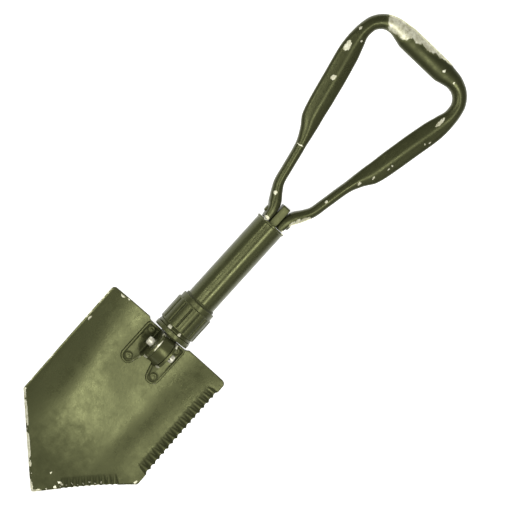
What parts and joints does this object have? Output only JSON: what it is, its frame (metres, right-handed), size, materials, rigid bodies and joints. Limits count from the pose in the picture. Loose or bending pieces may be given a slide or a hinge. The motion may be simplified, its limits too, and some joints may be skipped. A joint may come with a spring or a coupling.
{
  "type": "camp shovel",
  "caption": "Folding entrenching shovel with a pointed, part-serrated blade, a threaded lock collar, a sliding shaft tube and a folding triangular handle.",
  "frame": {"origin": "under the middle of the open shovel, level with the lock collar's lowest point", "axes": "+X from the blade's tip to the grip, +Z out of the blade's hollow front face, +Y to the holder's right"},
  "size_m": [0.599, 0.1524, 0.0479],
  "materials": {
    "olive_steel": "worn olive drab enamel on steel sheet",
    "olive_bracket": "worn olive drab enamel on stamped steel",
    "olive_rivet": "olive drab enamel over rivet heads",
    "bare_pin": "bare worn steel",
    "olive_knuckle": "olive drab enamel on forged steel",
    "plain_bar": "plain turned steel",
    "olive_tube": "satin olive drab enamel on aluminium tube",
    "bush": "dark moulded nylon",
    "olive_ring": "worn olive drab enamel on steel",
    "olive_collar": "worn olive drab enamel on a fluted alloy collar",
    "worn_snap_ring": "spring steel with worn paint",
    "olive_handle": "chipped olive drab enamel on aluminium"
  },
  "bodies": {
    "core": {"hinge_knuckle": "olive_knuckle", "core_bar": "plain_bar", "knuckle_cross_pin": "plain_bar", "tongue_cross_pin": "plain_bar", "handle_tongue": "olive_knuckle"},
    "blade": {"blade": "olive_steel", "ear_bracket_left": "olive_bracket", "ear_bracket_right": "olive_bracket", "bracket_rivets": "olive_rivet", "blade_pivot_pin": "bare_pin"},
    "tube": {"shaft_tube": "olive_tube", "lower_guide_bush": "bush", "upper_guide_bush": "bush"},
    "ring": {"thrust_ring": "olive_ring"},
    "collar": {"lock_collar": "olive_collar", "collar_snap_ring": "worn_snap_ring"},
    "handle": {"handle_frame": "olive_handle", "handle_pivot_pin": "bare_pin"}
  },
  "joints": [
    {"name": "blade_fold", "type": "hinge", "parent": "core", "child": "blade", "pos_m": [-0.108, 0, 0.0324], "axis": [0, 1, 0], "range_deg": [0, 180]},
    {"name": "handle_fold", "type": "hinge", "parent": "core", "child": "handle", "pos_m": [0.068, 0, 0.0209], "axis": [0, 1, 0], "range_deg": [0, 172]},
    {"name": "tube_slide", "type": "slide", "parent": "core", "child": "tube", "axis": [1, 0, 0], "range_m": [-0.0178, 0]},
    {"name": "ring_travel", "type": "slide", "parent": "core", "child": "ring", "axis": [1, 0, 0], "range_m": [-0.0015, 0.0031]},
    {"name": "collar_turn", "type": "hinge", "parent": "ring", "child": "collar", "pos_m": [-0.068, 0, 0.0209], "axis": [1, 0, 0], "range_deg": [-174, 360]}
  ],
  "couplings": [
    {"joint": "tube_slide", "follows": "handle_fold", "m_per_rad": -0.0059295},
    {"joint": "ring_travel", "follows": "collar_turn", "m_per_rad": 0.00047746}
  ]
}
